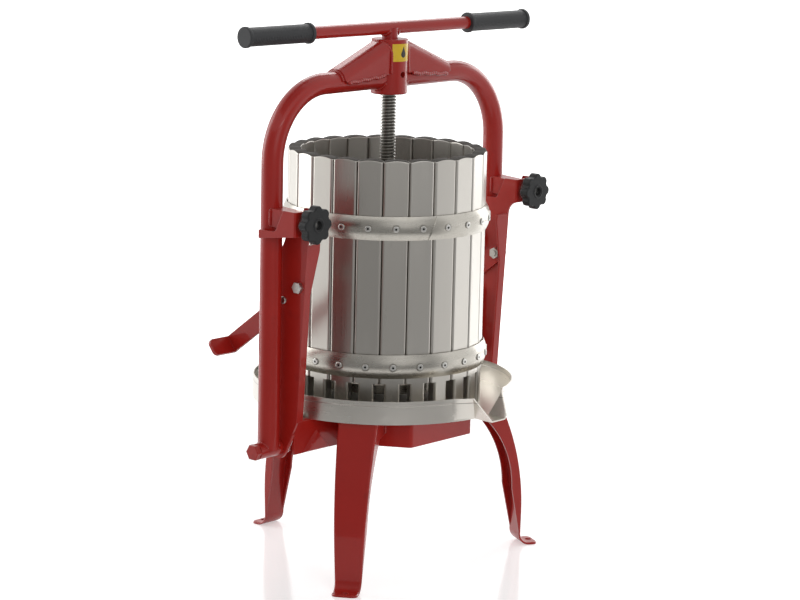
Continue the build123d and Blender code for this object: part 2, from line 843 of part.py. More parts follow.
with BuildPart() as knob_right:
    with BuildSketch(latch_plane(knob_seat + knob_hub)) as knob_outline:
        Circle(knob_radius - knob_lobe_radius * 0.55)
        with PolarLocations(knob_radius - knob_lobe_radius, knob_lobes):
            Circle(knob_lobe_radius)
        fillet(knob_outline.vertices(), knob_edge)
    extrude(amount=knob_head)
    rims = knob_right.faces().filter_by(Plane.XZ).edges()
    fillet(rims, knob_edge)
    with BuildSketch(latch_plane(knob_seat)):
        Circle(knob_hub_radius)
    extrude(amount=knob_hub)
    with BuildSketch(latch_plane(knob_seat + knob_depth)):
        Circle(knob_recess_radius)
    extrude(amount=-knob_recess, mode=Mode.SUBTRACT)
    with BuildSketch(latch_plane(knob_seat)):
        Circle(stud_radius)
    extrude(amount=knob_depth - knob_recess, mode=Mode.SUBTRACT)
save_pair(knob_right, "knob")

with BuildPart() as stud_right:
    with BuildSketch(latch_plane(cradle_reach - frame_sheet - stud_tip)):
        Circle(stud_radius)
    extrude(amount=knob_seat + knob_depth - knob_recess - cradle_reach + frame_sheet + stud_tip)
    chamfer(stud_right.edges().sort_by(Axis.Y)[-1], run_gap * 3)
save_pair(stud_right, "stud")

# The press screw: a trapezoidal thread between a painted shank and the lower journal
thread_bottom = plate_top + run_gap + journal_height
thread_length = boss_top - thread_bottom
handle_plane = Plane(
    origin=(0, 0, handle_z),
    x_dir=(-sin(radians(handle_turn)), cos(radians(handle_turn)), 0),
    z_dir=(cos(radians(handle_turn)), sin(radians(handle_turn)), 0),
)
with BuildPart() as shank:
    with BuildSketch(Plane.XY.offset(boss_top - screw_pitch / 2)):
        Circle(shank_radius)
    extrude(amount=handle_rise + screw_pitch / 2)
    with BuildSketch(handle_plane.offset(-handle_length / 2)):
        Circle(handle_radius)
    extrude(amount=handle_length, mode=Mode.SUBTRACT)

# A run of the thread has a whole number of turns, so the next run carries on from its end
run_length = run_turns * screw_pitch
run_count = int((thread_length - 2 * screw_pitch) // run_length)
with BuildPart() as thread_run:
    with BuildLine() as thread_path:
        Helix(pitch=screw_pitch, height=run_length, radius=screw_minor)
    with BuildSketch(Plane(origin=thread_path.line @ 0, x_dir=(1, 0, 0), z_dir=thread_path.line % 0)):
        Polygon(
            (-run_gap, -tooth_root / 2),
            (screw_major - screw_minor, -tooth_crest / 2),
            (screw_major - screw_minor, tooth_crest / 2),
            (-run_gap, tooth_root / 2),
            align=None,
        )
    sweep(path=thread_path.line, is_frenet=True)

with BuildPart() as press_screw:
    with BuildSketch(Plane.XY.offset(thread_bottom)):
        Circle(screw_minor)
    extrude(amount=thread_length)
    with Locations(*[(0, 0, thread_bottom + screw_pitch + run_length * i) for i in range(run_count)]):
        add(thread_run.part)
    with BuildSketch(Plane.XY.offset(plate_top + run_gap)):
        Circle(journal_radius)
    extrude(amount=journal_height)
    with BuildSketch(Plane.XY.offset(plate_top + run_gap)):
        Circle(collar_radius)
    extrude(amount=collar_height)
    add(shank.part)
save(press_screw, "press_screw")

with BuildPart() as handle_bar:
    with BuildSketch(handle_plane.offset(-handle_length / 2 + grip_end)):
        Circle(handle_radius)
    extrude(amount=handle_length - 2 * grip_end)
save(handle_bar, "handle_bar")


def grip(side):
    """A rubber grip with a rounded flange at each end, closed over the end of the bar."""
    outward = Plane(handle_plane.origin, handle_plane.x_dir, handle_plane.z_dir * side)
    start = handle_length / 2 - grip_length
    with BuildPart() as sleeve:
        with BuildSketch(outward.offset(start)):
            Circle(grip_flange_radius)
        extrude(amount=grip_flange)
        with BuildSketch(outward.offset(handle_length / 2 - grip_flange)):
            Circle(grip_flange_radius)
        extrude(amount=grip_flange)
        fillet(sleeve.edges(), grip_flange * 0.25)
        with BuildSketch(outward.offset(start)):
            Circle(grip_radius)
        extrude(amount=grip_length)
        with BuildSketch(outward.offset(start)):
            Circle(handle_radius)
        extrude(amount=grip_length - grip_end, mode=Mode.SUBTRACT)
    return sleeve


save(grip(-1), "grip_left")
save(grip(1), "grip_right")

# The press plate hangs on the screw, whose collar turns inside the plate's socket
socket_bore = collar_radius + run_gap
socket_height = collar_height + 2 * run_gap
with BuildPart() as plate_socket:
    with BuildSketch(Plane.XY.offset(plate_top)):
        Circle(socket_bore + socket_wall)
    extrude(amount=socket_height + socket_cap)
    fillet(plate_socket.faces().sort_by(Axis.Z)[-1].edges(), steel_sheet)
    with BuildSketch(Plane.XY.offset(plate_top)):
        Circle(socket_bore)
    extrude(amount=socket_height, mode=Mode.SUBTRACT)
    with BuildSketch(Plane.XY.offset(plate_top)):
        Circle(journal_radius + run_gap)
    extrude(amount=socket_height + socket_cap, mode=Mode.SUBTRACT)
save(plate_socket, "plate_socket")

with BuildPart() as press_plate:
    with BuildSketch(Plane.XY.offset(plate_bottom)):
        Circle(plate_radius)
    extrude(amount=plate_thickness)
    fillet(press_plate.edges(), steel_sheet)
    with BuildSketch(Plane.XY.offset(plate_top)):
        Circle(plate_radius - plate_rim)
        Circle(socket_bore + socket_wall + plate_rim, mode=Mode.SUBTRACT)
    extrude(amount=-plate_thickness / 2, mode=Mode.SUBTRACT)
    with BuildSketch(Plane.XY.offset(plate_bottom)):
        with PolarLocations(0, 6):
            with Locations((plate_radius / 2, 0)):
                Rectangle(plate_radius - 2 * plate_rim, plate_rim)
    extrude(amount=plate_thickness)
save(press_plate, "press_plate")
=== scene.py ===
import math

import bpy
from mathutils import Matrix, Vector


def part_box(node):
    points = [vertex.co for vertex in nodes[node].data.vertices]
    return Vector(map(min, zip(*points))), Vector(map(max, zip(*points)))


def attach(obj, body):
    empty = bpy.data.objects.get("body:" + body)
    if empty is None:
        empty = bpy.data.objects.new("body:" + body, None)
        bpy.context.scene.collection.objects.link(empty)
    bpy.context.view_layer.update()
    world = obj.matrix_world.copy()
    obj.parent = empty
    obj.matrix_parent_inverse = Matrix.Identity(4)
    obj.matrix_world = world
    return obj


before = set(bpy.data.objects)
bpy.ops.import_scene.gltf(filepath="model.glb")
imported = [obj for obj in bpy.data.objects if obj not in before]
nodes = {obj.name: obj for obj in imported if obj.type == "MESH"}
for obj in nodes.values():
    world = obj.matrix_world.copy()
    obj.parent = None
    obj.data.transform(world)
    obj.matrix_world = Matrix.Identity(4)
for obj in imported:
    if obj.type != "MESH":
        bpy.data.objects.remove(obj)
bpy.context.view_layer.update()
scene = bpy.context.scene

# Places taken from the model, in metres
boss_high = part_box("screw_boss")[1]
boss_radius = boss_high.x
tube_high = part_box("arch_tube_right")[1]
tube_radius = tube_high.y
arch_x = tube_high.x - tube_radius
crown_z = tube_high.z - tube_radius
sleeve_low, sleeve_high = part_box("pivot_sleeves")
sleeve_radius = sleeve_high.y
pivot_z = (sleeve_low.z + sleeve_high.z) / 2
gusset_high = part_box("gusset_right")[1]
gusset_half = gusset_high.y
lug_low, lug_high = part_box("latch_lug_right")
lug_half = lug_high.x - arch_x
pan_low, pan_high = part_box("base_pan")
bar_low, bar_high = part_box("handle_bar")
handle_z = (bar_low.z + bar_high.z) / 2
bar_radius = (bar_high.z - bar_low.z) / 2
hoop_middles = [sum(v.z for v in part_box(name)) / 2 for name in ("lower_hoop", "upper_hoop")]
hoop_low, hoop_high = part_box("upper_hoop")
hoop_half = (hoop_high.z - hoop_low.z) / 2
hoop_crest = hoop_high.x
basket_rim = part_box("stave_01")[1].z
tray_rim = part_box("tray")[1].z
grip_low, grip_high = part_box("grip_right")
grip_radius = (grip_high.z - grip_low.z) / 2

# Sizes that the boxes don't give, in metres and radians
handle_turn = math.radians(-4.2)
grip_lean = grip_radius * abs(math.tan(handle_turn))
grip_start = grip_low.x / math.cos(handle_turn) + grip_lean
grip_end = grip_high.x / math.cos(handle_turn) - grip_lean
grip_rib_pitch = 0.0026
grip_panels = 6
stave_pitch = math.radians(15)
stave_start = math.radians(1.8)
stave_backs = (0.1100, 0.1118)
rim_band = (basket_rim - 0.0080, basket_rim - 0.0060)
rivet_eye = (0.0012, 0.0016)
rivet_dimple = (0.0028, 0.0058)
hoop_sag = 0.0039
tray_hem = tray_rim - 0.0060
tray_groove_half = 0.0006
tray_floor = (tray_rim - 0.0160, tray_rim - 0.0130)
tray_spout_turn = math.radians(41)
tray_spout_side = (0.035, 0.095)
thread_root, thread_crest = 0.0079, 0.0097
shank_radius = 0.0100
shank_paint = boss_high.z - 0.0020
stud_pitch = 0.0015
gusset_round = 0.014
leg_turns = [math.radians(angle) for angle in (-60, 60, 180)]
leg_half_width = 0.0250


# Shader building
class Sock:
    """A socket of a node tree. Arithmetic on it adds Math nodes, and node() adds any other node."""

    def __init__(self, tree, out=None):
        self.tree = tree
        self.out = out

    def node(self, kind, settings=(), inputs=(), out=0):
        made = self.tree.nodes.new(kind)
        for key, value in dict(settings).items():
            setattr(made, key, value)
        for key, value in dict(inputs).items():
            if isinstance(value, Sock):
                self.tree.links.new(value.out, made.inputs[key])
            else:
                made.inputs[key].default_value = value
        return Sock(self.tree, made.outputs[out])

    def math(self, operation, *values):
        return self.node("ShaderNodeMath", {"operation": operation}, dict(enumerate(values)))

    def __add__(self, other):
        return self.math("ADD", self, other)

    def __radd__(self, other):
        return self.math("ADD", other, self)

    def __sub__(self, other):
        return self.math("SUBTRACT", self, other)

    def __rsub__(self, other):
        return self.math("SUBTRACT", other, self)

    def __mul__(self, other):
        return self.math("MULTIPLY", self, other)

    def __rmul__(self, other):
        return self.math("MULTIPLY", other, self)

    def __truediv__(self, other):
        return self.math("DIVIDE", self, other)

    def __rtruediv__(self, other):
        return self.math("DIVIDE", other, self)

    def size(self):
        return self.math("ABSOLUTE", self)

    def ramp(self, low, high):
        """0 below low, 1 above high, smooth between."""
        return self.node(
            "ShaderNodeMapRange",
            {"interpolation_type": "SMOOTHSTEP"},
            {"Value": self, "From Min": low, "From Max": high},
        )

    def ray(self, word):
        return self.node("ShaderNodeLightPath", out=f"Is {word} Ray")

    def mirrored(self):
        """1 for glossy and transmission rays, 0 for all others."""
        return self.math("MAXIMUM", self.ray("Glossy"), self.ray("Transmission"))

    def seen(self):
        """1 for camera, glossy and transmission rays, 0 for diffuse and shadow rays."""
        return self.math("MAXIMUM", self.ray("Camera"), self.mirrored())


class Coat(Sock):
    """A material in the making, with its object coordinates at hand."""

    def __init__(self, name):
        self.material = bpy.data.materials.new(name)
        self.material.use_nodes = True
        super().__init__(self.material.node_tree)
        self.shader = self.tree.nodes["Principled BSDF"]
        self.place = self.node("ShaderNodeTexCoord", out="Object")
        self.x, self.y, self.z = (
            self.node("ShaderNodeSeparateXYZ", inputs={0: self.place}, out=i) for i in range(3)
        )

    def noise(self, scale, stretch=(1, 1, 1), detail=2.0, place=None):
        """Noise of so many lumps to the metre, 0 to 1. A small stretch draws it out along that axis."""
        spread = self.node(
            "ShaderNodeVectorMath", {"operation": "MULTIPLY"}, {0: place or self.place, 1: stretch}
        )
        return self.node("ShaderNodeTexNoise", inputs={"Vector": spread, "Scale": scale, "Detail": detail})

    def mix(self, factor, first, second):
        """The first colour where the factor is 0, the second where it is 1."""
        ends = {
            index: value if isinstance(value, Sock) else (*value, 1.0)
            for index, value in ((6, first), (7, second))
        }
        return self.node("ShaderNodeMix", {"data_type": "RGBA"}, {0: factor, **ends}, out=2)

    def polar(self):
        """Angle round the screw's axis from the front, and distance from that axis."""
        angle = self.math("ARCTAN2", self.x, -1 * self.y)
        radius = self.math("SQRT", self.x * self.x + self.y * self.y)
        return angle, radius

    def around(self):
        """Coordinates unrolled round the screw's axis, for grain that follows a turned or rolled piece."""
        unrolled_radius = 0.12
        angle, radius = self.polar()
        return self.node("ShaderNodeCombineXYZ", inputs={0: angle * unrolled_radius, 1: radius, 2: self.z})

    def facing_up(self):
        """How far the surface faces upward: 1 on level tops, 0 on upright walls."""
        plain = self.node("ShaderNodeNewGeometry", out="Normal")
        return self.node("ShaderNodeSeparateXYZ", inputs={0: plain}, out=2)

    def stave_turn(self):
        """Angle round the basket counted in staves, and the number of the stave there."""
        turn = (self.polar()[0] - stave_start) / stave_pitch
        return turn, self.math("FLOOR", turn + 0.5)

    def from_rivet(self):
        """Distance on the hoops from the middle of the nearest rivet."""
        turn, number = self.stave_turn()
        across = (turn - number) * (stave_pitch * hoop_crest)
        rise = self.math("MINIMUM", *((self.z - middle).size() for middle in hoop_middles))
        return self.math("SQRT", across * across + rise * rise)

    def rounded(self, reach):
        """The surface normal, softened across edges."""
        return self.node("ShaderNodeBevel", {"samples": 6}, {"Radius": reach})

    # Edge mask for the red coat's pale edges: paint wear and a painted highlight.
    def worn_and_highlit(self, soft):
        """1 on sharp edges, 0 on open faces."""
        plain = self.node("ShaderNodeNewGeometry", out="Normal")
        match = self.node("ShaderNodeVectorMath", {"operation": "DOT_PRODUCT"}, {0: soft, 1: plain}, out=1)
        return (1 - match).ramp(0.01, 0.16)

    def finish(
        self, colour, roughness, metallic=0.0, height=None, depth=0.0, soft=None, glow=None, **constants
    ):
        """Feed the shader. height is a bump of the given depth in metres, soft an edge-softened normal."""
        feeds = {"Base Color": colour, "Roughness": roughness, "Metallic": metallic}
        if glow is not None:
            feeds["Emission Color"] = glow
        if height is not None:
            bump = {"Height": height, "Distance": depth, "Strength": 1.0}
            if soft is not None:
                bump["Normal"] = soft
            feeds["Normal"] = self.node("ShaderNodeBump", inputs=bump)
        for key, value in feeds.items():
            if isinstance(value, Sock):
                self.tree.links.new(value.out, self.shader.inputs[key])
            else:
                self.shader.inputs[key].default_value = (*value, 1.0) if isinstance(value, tuple) else value
        for key, value in constants.items():
            name = key.replace("_", " ").title().replace("Ior", "IOR")
            self.shader.inputs[name].default_value = value
        return self.material


# Finishes
def red_coat(name="red_coat", gloss=0.42):
    """Glossy red powder coat with a fine orange peel, duller patches and pale edges, partly paint wear and
    partly a painted highlight.
    """
    deep, bright = (0.36, 0.0120, 0.0072), (0.45, 0.0155, 0.0095)
    dirty, worn_highlit_edge = (0.24, 0.0075, 0.0048), (0.58, 0.075, 0.068)
    c = Coat(name)
    broad = c.noise(11, detail=3)
    grime = c.noise(45, detail=4).ramp(0.60, 0.80)
    peel = c.noise(520)
    speck = c.noise(2400, detail=1)
    soft = c.rounded(0.0011)
    colour = c.mix(broad, deep, bright)
    colour = c.mix(grime * 0.4, colour, dirty)
    # Pale edges: partly paint wear, partly a painted highlight.
    colour = c.mix(c.worn_and_highlit(soft) * 0.42, colour, worn_highlit_edge)
    rough = 0.32 + 0.10 * broad + 0.10 * grime
    return c.finish(
        colour, rough, height=0.75 * peel + 0.25 * speck, depth=0.00010, soft=soft,
        specular_ior_level=0.25, coat_weight=gloss, coat_roughness=0.05,
    )


def stave_steel():
    """Brushed stainless staves: a tint for each stave, dark joints, painted shade on their inner faces and on
    the tops at the rim.
    """
    dark, light, warm = (0.55, 0.526, 0.484), (0.66, 0.636, 0.592), (0.60, 0.566, 0.512)
    joint_dark, back_shade = (0.16, 0.15, 0.135), (0.20, 0.19, 0.175)
    rim_shade_deep, rim_shade_pale = (0.050, 0.046, 0.040), (0.13, 0.12, 0.105)
    c = Coat("stave_steel")
    turn, number = c.stave_turn()
    joint = (turn - number).size().ramp(0.474, 0.494)
    tint = c.node("ShaderNodeTexWhiteNoise", {"noise_dimensions": "1D"}, {"W": number + 40.5})
    cloud = c.noise(14, (1, 1, 0.4), detail=3)
    grain = c.noise(900, (1, 1, 0.012), detail=3)
    smear = c.noise(60, (1, 1, 0.25), detail=4).ramp(0.58, 0.85)
    # Painted shade on the staves' inner faces, inside the basket; they are a little rougher there too.
    inside = 1 - c.polar()[1].ramp(*stave_backs)
    # Painted shade on the upward faces at the rim: near black, matte and not metallic, patchy with the smear
    # noise.
    rim = c.facing_up().ramp(0.35, 0.75) * c.z.ramp(*rim_band)
    colour = c.mix(tint, dark, light)
    colour = c.mix(cloud * 0.5, colour, warm)
    colour = c.mix(joint * 0.55, colour, joint_dark)
    colour = c.mix(inside * 0.36, colour, back_shade)
    colour = c.mix(rim * 0.95, colour, c.mix(smear, rim_shade_deep, rim_shade_pale))
    rough = 0.24 + 0.08 * grain + 0.04 * tint + 0.05 * smear + 0.06 * inside + 0.60 * rim
    return c.finish(colour, rough, 1 - rim, height=grain, depth=0.00002)


def hoop_steel():
    """Rolled stainless strip with grain along it, smears and a dimple round each rivet, with painted shade in
    the dimple.
    """
    dark, light = (0.48, 0.455, 0.405), (0.60, 0.575, 0.522)
    smeared, dimple_shade = (0.36, 0.335, 0.285), (0.15, 0.14, 0.12)
    c = Coat("hoop_steel")
    grain = c.noise(1100, (0.05, 1, 1), detail=3, place=c.around())
    cloud = c.noise(24, detail=3)
    smear = c.noise(70, (1, 1, 2.2), detail=4).ramp(0.5, 0.78)
    flat = c.from_rivet().ramp(*rivet_dimple)
    colour = c.mix(cloud, dark, light)
    colour = c.mix(smear * 0.35, colour, smeared)
    # Painted shade round each rivet, where the dimple is.
    colour = c.mix(0.5 - 0.5 * flat, colour, dimple_shade)
    rough = 0.24 + 0.08 * grain + 0.08 * smear
    return c.finish(colour, rough, 1.0, height=0.04 * grain + 0.03 * cloud + flat, depth=0.0005)


def rivet_steel():
    """Blind rivets: a bright head, with the eye painted near black as shade in its hole."""
    dark, light, eye_shade = (0.54, 0.53, 0.50), (0.76, 0.75, 0.72), (0.006, 0.006, 0.006)
    c = Coat("rivet_steel")
    # Painted shade in the rivet's hole: near black, rough and not metallic.
    eye = 1 - c.from_rivet().ramp(*rivet_eye)
    cloud = c.noise(300, detail=3)
    colour = c.mix(eye, c.mix(cloud, dark, light), eye_shade)
    return c.finish(colour, 0.26 + 0.14 * cloud + 0.30 * eye, 1 - eye, height=cloud, depth=0.00006)


def tray_steel():
    """Spun stainless tray with a hem under its rim; painted shade in the hem's groove, and on the floor away
    from the spout's side, which is rougher there too.
    """
    dark, light = (0.64, 0.610, 0.558), (0.76, 0.727, 0.670)
    groove_shade, floor_shade = (0.18, 0.17, 0.155), (0.17, 0.16, 0.14)
    c = Coat("tray_steel")
    cloud = c.noise(16, detail=4)
    grain = c.noise(900, (0.05, 1, 1), detail=3, place=c.around())
    drops = c.noise(120, detail=2).ramp(0.66, 0.78)
    hem = c.z.ramp(tray_hem - 0.0004, tray_hem + 0.0004)
    # Painted shade in the groove under the hem.
    groove = 1 - ((c.z - tray_hem) / tray_groove_half).size().ramp(0.3, 1.0)
    spout_side = (math.sin(tray_spout_turn) * c.x - math.cos(tray_spout_turn) * c.y).ramp(*tray_spout_side)
    # Painted shade on the floor round the basket, less towards the spout's side; the floor is rougher there
    # too.
    shaded_dull_floor = c.facing_up().ramp(0.6, 0.9) * (1 - c.z.ramp(*tray_floor)) * (1 - 0.9 * spout_side)
    colour = c.mix(cloud, dark, light)
    colour = c.mix(groove * 0.6, colour, groove_shade)
    colour = c.mix(shaded_dull_floor * 0.85, colour, floor_shade)
    rough = 0.22 + 0.08 * grain + 0.10 * drops + 0.06 * cloud + 0.15 * shaded_dull_floor
    height = 0.025 * grain + 0.03 * cloud + 0.5 * hem - 0.5 * groove
    return c.finish(colour, rough, 1.0, height=height, depth=0.0007)


def zinc(name="zinc", thread=False):
    """Zinc plating with its spangle, or with the ridges of a thread along Y."""
    dark, light = (0.46, 0.455, 0.43), (0.62, 0.61, 0.58)
    c = Coat(name)
    spangle = c.node("ShaderNodeTexVoronoi", inputs={"Vector": c.place, "Scale": 420.0})
    cloud = c.noise(120, detail=3)
    height = c.math("SINE", c.y * (2 * math.pi / stud_pitch)) if thread else cloud
    depth = 0.0004 if thread else 0.00004
    return c.finish(c.mix(spangle, dark, light), 0.24 + 0.15 * cloud, 1.0, height=height, depth=depth)


def screw_steel():
    """Oiled steel thread with a painted highlight on its crests and painted shade in its grooves, and red
    paint on the shank above the boss.
    """
    groove_shade, crest_highlight, oily = (0.11, 0.105, 0.095), (0.48, 0.465, 0.435), (0.14, 0.12, 0.09)
    paint_deep, paint_bright = (0.33, 0.0085, 0.0070), (0.41, 0.0120, 0.0098)
    c = Coat("screw_steel")
    crest = c.polar()[1].ramp(thread_root, thread_crest)
    grease = c.noise(70, detail=4)
    turned = c.noise(1500, (0.2, 0.2, 1), detail=2)
    shank = c.z.ramp(shank_paint - 0.0001, shank_paint + 0.0001)
    # Painted shade in the thread's grooves and a painted highlight on its crests.
    bare = c.mix(crest, groove_shade, crest_highlight)
    bare = c.mix(grease * 0.35, bare, oily)
    paint = c.mix(c.noise(11, detail=3), paint_deep, paint_bright)
    rough = 0.42 - 0.16 * crest + 0.12 * grease
    return c.finish(c.mix(shank, bare, paint), rough, 1 - shank, height=turned, depth=0.00004)


def knob_plastic():
    """Stippled black plastic with soft edges."""
    dark, light = (0.012, 0.0125, 0.013), (0.021, 0.022, 0.023)
    c = Coat("knob_plastic")
    cloud = c.noise(60, detail=3)
    stipple = c.noise(1800)
    soft = c.rounded(0.0008)
    return c.finish(
        c.mix(cloud, dark, light), 0.42 + 0.14 * cloud, height=stipple, depth=0.00008, soft=soft,
        specular_ior_level=0.30,
    )


def grip_rubber():
    """Dusty rubber with panels of fine ribs between two plain ends."""
    dark, light = (0.018, 0.0185, 0.020), (0.038, 0.039, 0.042)
    c = Coat("grip_rubber")
    along = c.x * math.cos(handle_turn) + c.y * math.sin(handle_turn)
    side = c.y * math.cos(handle_turn) - c.x * math.sin(handle_turn)
    turn = c.math("ARCTAN2", side, c.z - handle_z)
    far = along.size()
    middle = far.ramp(grip_start + 0.003, grip_start + 0.008)
    middle = middle * (1 - far.ramp(grip_end - 0.009, grip_end - 0.004))
    panel = c.math("SINE", turn * grip_panels).ramp(-0.2, 0.2)
    ribs = c.math("SINE", along * (2 * math.pi / grip_rib_pitch)).ramp(-0.4, 0.4)
    dust = c.noise(90, detail=4)
    height = middle * panel * ribs + 0.10 * c.noise(1600)
    return c.finish(c.mix(dust, dark, light), 0.50 + 0.18 * dust, height=height, depth=0.0007)


def label_yellow():
    dark, light = (0.78, 0.50, 0.012), (0.86, 0.58, 0.025)
    c = Coat("label_yellow")
    fade = c.noise(200, detail=3)
    return c.finish(c.mix(fade, dark, light), 0.30 + 0.12 * fade, height=fade, depth=0.00003)


def label_ink():
    dark, light = (0.012, 0.010, 0.008), (0.035, 0.030, 0.022)
    c = Coat("label_ink")
    fade = c.noise(400, detail=3)
    return c.finish(c.mix(fade, dark, light), 0.40 + 0.15 * fade, height=fade, depth=0.00002)


red = red_coat()
weld_red = red_coat("weld_red", 0.8)
stave_finish = stave_steel()
hoop_finish = hoop_steel()
rivet_finish = rivet_steel()
tray_finish = tray_steel()
zinc_finish = zinc()
stud_finish = zinc("stud_zinc", thread=True)
screw_finish = screw_steel()
black = knob_plastic()
rubber = grip_rubber()
yellow = label_yellow()
ink = label_ink()

# What isn't named here is a stave or has the red coat
finishes = {
    "hoop_rivets": rivet_finish,
    "lower_hoop": hoop_finish,
    "upper_hoop": hoop_finish,
    "tray": tray_finish,
    "press_plate": hoop_finish,
    "plate_socket": hoop_finish,
    "press_screw": screw_finish,
    "knob_left": black,
    "knob_right": black,
    "grip_left": rubber,
    "grip_right": rubber,
    "stud_left": stud_finish,
    "stud_right": stud_finish,
}
for name in ("stay_bolts", "stay_screws", "tray_stops", "washer_left", "washer_right"):
    finishes[name] = zinc_finish
for name, node in nodes.items():
    node.data.materials.clear()
    node.data.materials.append(stave_finish if name.startswith("stave_") else finishes.get(name, red))


# Mesh building
def mesh_object(name, verts, faces, material):
    mesh = bpy.data.meshes.new(name)
    mesh.from_pydata([tuple(v) for v in verts], [], faces)
    mesh.validate()
    mesh.materials.append(material)
    mesh.shade_smooth()
    made = bpy.data.objects.new(name, mesh)
    scene.collection.objects.link(made)
    return made


def piece(name, verts, faces, material, body, slot):
    """A mesh piece that rides a body, with the given finish; slot is not used."""
    made = mesh_object(name, verts, faces, material)
    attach(made, body)
    return made


def on_axis(angle, radius, z):
    """A point round the screw's axis, its angle counted from the front towards +X."""
    return Vector((math.sin(angle) * radius, -math.cos(angle) * radius, z))


def spread(low, high, count):
    """So many numbers in equal steps, both ends among them."""
    return [low + (high - low) * i / (count - 1) for i in range(count)]


def strip(columns):
    """Verts and faces of a strip from rows of points with equal length."""
    wide = len(columns[0])
    verts = [point for column in columns for point in column]
    faces = []
    for i in range(len(columns) - 1):
        for k in range(wide - 1):
            a = i * wide + k
            faces.append((a, a + wide, a + wide + 1, a + 1))
    return verts, faces


def bead(name, points, radius, body="arch", ripple=0.0030):
    """A rippled weld bead along a line of points, drawn in at both ends."""
    step, sides = 0.0008, 8
    tip, trough, wave = 0.35, 0.84, 0.22
    path = [Vector(p) for p in points]
    stops = []
    for a, b in zip(path, path[1:]):
        count = max(1, round((b - a).length / step))
        stops += [a.lerp(b, i / count) for i in range(count)]
    stops.append(path[-1])
    last = len(stops) - 1
    verts, faces = [], []
    across = (stops[1] - stops[0]).orthogonal().normalized()
    for i, stop in enumerate(stops):
        ahead = (stops[min(i + 1, last)] - stops[max(i - 1, 0)]).normalized()
        across = (across - ahead * across.dot(ahead)).normalized()
        up = ahead.cross(across)
        end = min(1.0, tip + min(i, last - i) * step / radius)
        girth = radius * (trough + wave * abs(math.sin(math.pi * i * step / ripple))) * end
        for k in range(sides):
            turn = 2 * math.pi * k / sides
            verts.append(stop + (across * math.cos(turn) + up * math.sin(turn)) * girth)
    for i in range(last):
        for k in range(sides):
            a, b = i * sides + k, i * sides + (k + 1) % sides
            faces.append((a, b, b + sides, a + sides))
    faces.append(tuple(range(sides - 1, -1, -1)))
    faces.append(tuple(range(len(verts) - sides, len(verts))))
    return piece(name, verts, faces, weld_red, body, "red_coat")


# Yellow label on the front of the boss, with a plain drop shape
def boss_label():
    below_top, tall, half_turn = 0.0053, 0.0220, math.radians(40)
    paper, printed = boss_radius + 0.00012, boss_radius + 0.00022
    high = boss_high.z - below_top
    low = high - tall
    columns = [
        (on_axis(angle, paper, low), on_axis(angle, paper, high))
        for angle in spread(-half_turn, half_turn, 33)
    ]
    piece("boss_label", *strip(columns), yellow, "arch", "red_coat")

    drop_radius, drop_tip, set_down, shoulder = 0.0042, 0.0075, 0.0020, 0.6
    middle = (low + high) / 2 - set_down
    columns = []
    for share in spread(-1, 1, 17):
        belly = drop_radius * math.sqrt(1 - share * share)
        tip = drop_tip * (1 - abs(share)) ** 1.5
        angle = share * drop_radius / boss_radius
        columns.append((
            on_axis(angle, printed, middle - belly),
            on_axis(angle, printed, middle + belly * shoulder + tip),
        ))
    piece("boss_label_drop", *strip(columns), ink, "arch", "black_plastic")


boss_label()


# A raised ring round the hole in each knob's face
def knob_ring(word):
    profile = (
        (0.0066, 0.0004), (0.0069, -0.0004), (0.0074, -0.0007),
        (0.0083, -0.0007), (0.0088, -0.0004), (0.0091, 0.0004),
    )
    low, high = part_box(f"knob_{word}")
    x, z = (low.x + high.x) / 2, (low.z + high.z) / 2
    rows = [
        [(x + radius * math.sin(turn), low.y + lift, z + radius * math.cos(turn)) for radius, lift in profile]
        for turn in spread(0, 2 * math.pi, 41)
    ]
    piece(f"knob_ring_{word}", *strip(rows), black, f"knob_{word}", "black_plastic")


for word in ("left", "right"):
    knob_ring(word)


# The outer end of the upper hoop's strip, lying on its other end and fading into it
def upper_hoop_lap():
    start, end, slant = math.radians(-24.5), math.radians(-8), 0.030
    edge, skin, tuck = 0.0006, 0.00005, 0.0004
    hoop_arc = (hoop_half**2 + hoop_sag**2) / (2 * hoop_sag)
    columns = []
    for i, share in enumerate([0.0, *spread(0, 1, 24)]):
        lift = edge * (1 - share) ** 2 + skin if i else -tuck
        column = []
        for level in spread(-0.98, 0.98, 17):
            lean = slant * (level + 1) ** 1.5
            rise = level * hoop_half
            radius = hoop_crest - hoop_arc + math.sqrt(hoop_arc**2 - rise**2) + lift
            turn = start + lean + (end - start - lean) * share
            column.append(on_axis(turn, radius, hoop_middles[1] + rise))
        columns.append(column)
    piece("upper_hoop_lap", *strip(columns), hoop_finish, "basket", "stainless")


upper_hoop_lap()


# Weld beads, each set a little off the corner that it fills
def gusset_welds(side, word):
    """A wavy bead along each lower edge of a gusset, and one over the tube at its tip."""
    near, short = boss_radius + 0.0020, 0.0080
    start_rise, fall, wave, waves = 0.0048, 0.0050, 0.0007, 23
    reach = gusset_high.x - short - boss_radius
    for face, end in ((-1, "front"), (1, "rear")):
        edge = [
            (
                side * (near + reach * share),
                face * (gusset_half - 0.0006),
                crown_z + start_rise - fall * share + wave * math.sin(waves * share),
            )
            for share in spread(0, 1, 25)
        ]
        bead(f"weld_gusset_{word}_{end}", edge, 0.0026, ripple=0.0042)
    girth = tube_radius + 0.0006
    tip = side * (gusset_high.x + 0.0004)
    over = spread(math.radians(8), math.radians(172), 21)
    arc = [(tip, math.cos(a) * girth, crown_z + math.sin(a) * girth) for a in over]
    bead(f"weld_gusset_end_{word}", arc, 0.0021)


